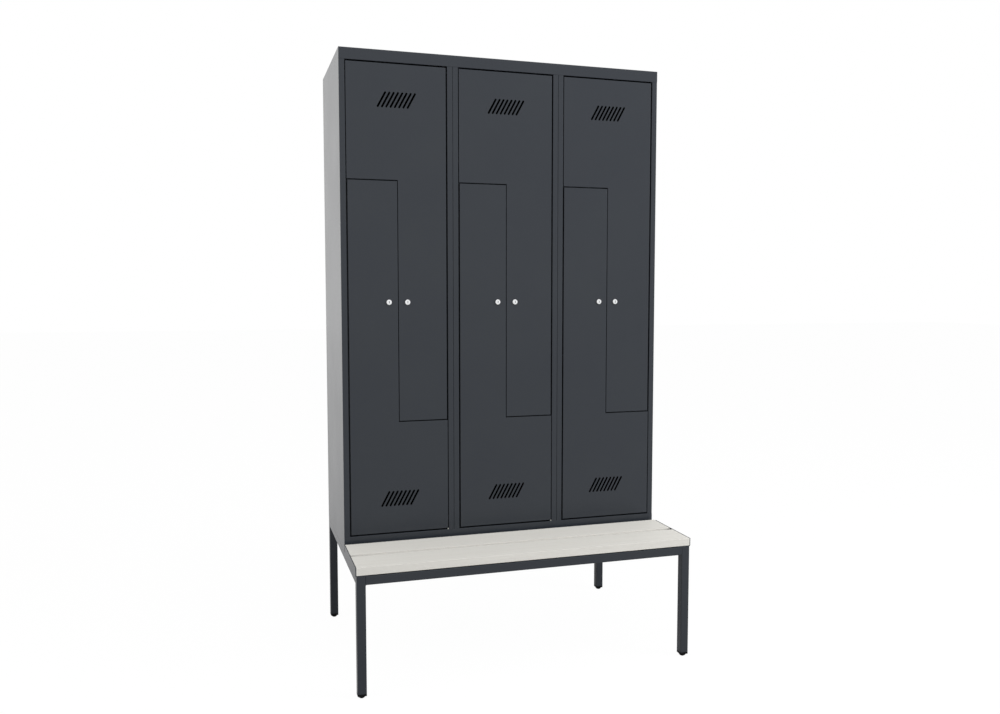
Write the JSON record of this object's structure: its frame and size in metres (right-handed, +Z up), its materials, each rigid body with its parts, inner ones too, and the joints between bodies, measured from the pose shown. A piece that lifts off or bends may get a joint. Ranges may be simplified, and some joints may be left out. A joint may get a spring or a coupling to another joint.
{
  "type": "locker cabinet with bench",
  "caption": "Steel locker cabinet with interlocking L-shaped doors, slanted vents and cam locks, on a square-tube frame with a slatted bench seat in front.",
  "frame": {"origin": "floor level under the middle of the unit's plan", "axes": "+X to the viewer's right, +Y to the back, +Z up; doors and bench face -Y"},
  "size_m": [1.206, 0.8, 2.158],
  "materials": {
    "powder_coat": "anthracite semi-gloss powder coat on folded sheet and tube",
    "slat_wood": "white-glazed lacquered wood",
    "foot_plastic": "black moulded plastic",
    "zinc_steel": "bright zinc-plated steel",
    "socket_plastic": "dark moulded plastic",
    "buffer_nylon": "natural white nylon",
    "lock_chrome": "nickel-chrome plated zinc casting"
  },
  "bodies": {
    "carcass": {"leg_front_left": "powder_coat", "leg_front_right": "powder_coat", "leg_rear_left": "powder_coat", "leg_rear_right": "powder_coat", "front_rail": "powder_coat", "rear_rail": "powder_coat", "cross_rail": "powder_coat", "side_rail_left": "powder_coat", "side_rail_right": "powder_coat", "end_angle_left": "powder_coat", "end_angle_right": "powder_coat", "side_panel_left": "powder_coat", "side_panel_right": "powder_coat", "partition_1": "powder_coat", "partition_2": "powder_coat", "mullion_stile_1": "powder_coat", "mullion_stile_2": "powder_coat", "roof_panel": "powder_coat", "floor_panel": "powder_coat", "back_panel": "powder_coat", "coat_rails": "powder_coat", "hinge_arms": "powder_coat", "slat_front": "slat_wood", "slat_rear": "slat_wood", "foot_caps": "foot_plastic", "slat_screws": "zinc_steel", "frame_bolts": "zinc_steel", "hinge_pins": "zinc_steel", "rail_sockets": "socket_plastic", "door_buffers": "buffer_nylon", "divider_1": "powder_coat", "stop_strip_1": "powder_coat", "divider_2": "powder_coat", "stop_strip_2": "powder_coat", "divider_3": "powder_coat", "stop_strip_3": "powder_coat"},
    "upper_door_1": {"upper_door_1": "powder_coat", "upper_stiffener_1": "powder_coat", "upper_lock_housing_1": "lock_chrome"},
    "upper_lock_1": {"upper_lock_rotor_1": "lock_chrome"},
    "lower_door_1": {"lower_door_1": "powder_coat", "lower_stiffener_1": "powder_coat", "lower_lock_housing_1": "lock_chrome"},
    "lower_lock_1": {"lower_lock_rotor_1": "lock_chrome"},
    "upper_door_2": {"upper_door_2": "powder_coat", "upper_stiffener_2": "powder_coat", "upper_lock_housing_2": "lock_chrome"},
    "upper_lock_2": {"upper_lock_rotor_2": "lock_chrome"},
    "lower_door_2": {"lower_door_2": "powder_coat", "lower_stiffener_2": "powder_coat", "lower_lock_housing_2": "lock_chrome"},
    "lower_lock_2": {"lower_lock_rotor_2": "lock_chrome"},
    "upper_door_3": {"upper_door_3": "powder_coat", "upper_stiffener_3": "powder_coat", "upper_lock_housing_3": "lock_chrome"},
    "upper_lock_3": {"upper_lock_rotor_3": "lock_chrome"},
    "lower_door_3": {"lower_door_3": "powder_coat", "lower_stiffener_3": "powder_coat", "lower_lock_housing_3": "lock_chrome"},
    "lower_lock_3": {"lower_lock_rotor_3": "lock_chrome"}
  },
  "joints": [
    {"name": "upper_door_1_hinge", "type": "hinge", "parent": "carcass", "child": "upper_door_1", "pos_m": [-0.233, -0.093, 1.288], "axis": [0, 0, 1], "range_deg": [0, 95]},
    {"name": "upper_lock_1_turn", "type": "hinge", "parent": "upper_door_1", "child": "upper_lock_1", "pos_m": [-0.367, -0.1, 1.288], "axis": [0, 1, 0], "range_deg": [0, 90]},
    {"name": "lower_door_1_hinge", "type": "hinge", "parent": "carcass", "child": "lower_door_1", "pos_m": [-0.567, -0.093, 1.288], "axis": [0, 0, -1], "range_deg": [0, 95]},
    {"name": "lower_lock_1_turn", "type": "hinge", "parent": "lower_door_1", "child": "lower_lock_1", "pos_m": [-0.433, -0.1, 1.288], "axis": [0, -1, 0], "range_deg": [0, 90]},
    {"name": "upper_door_2_hinge", "type": "hinge", "parent": "carcass", "child": "upper_door_2", "pos_m": [0.167, -0.093, 1.288], "axis": [0, 0, 1], "range_deg": [0, 95]},
    {"name": "upper_lock_2_turn", "type": "hinge", "parent": "upper_door_2", "child": "upper_lock_2", "pos_m": [0.033, -0.1, 1.288], "axis": [0, 1, 0], "range_deg": [0, 90]},
    {"name": "lower_door_2_hinge", "type": "hinge", "parent": "carcass", "child": "lower_door_2", "pos_m": [-0.167, -0.093, 1.288], "axis": [0, 0, -1], "range_deg": [0, 95]},
    {"name": "lower_lock_2_turn", "type": "hinge", "parent": "lower_door_2", "child": "lower_lock_2", "pos_m": [-0.033, -0.1, 1.288], "axis": [0, -1, 0], "range_deg": [0, 90]},
    {"name": "upper_door_3_hinge", "type": "hinge", "parent": "carcass", "child": "upper_door_3", "pos_m": [0.567, -0.093, 1.288], "axis": [0, 0, 1], "range_deg": [0, 95]},
    {"name": "upper_lock_3_turn", "type": "hinge", "parent": "upper_door_3", "child": "upper_lock_3", "pos_m": [0.433, -0.1, 1.288], "axis": [0, 1, 0], "range_deg": [0, 90]},
    {"name": "lower_door_3_hinge", "type": "hinge", "parent": "carcass", "child": "lower_door_3", "pos_m": [0.233, -0.093, 1.288], "axis": [0, 0, -1], "range_deg": [0, 95]},
    {"name": "lower_lock_3_turn", "type": "hinge", "parent": "lower_door_3", "child": "lower_lock_3", "pos_m": [0.367, -0.1, 1.288], "axis": [0, -1, 0], "range_deg": [0, 90]}
  ]
}
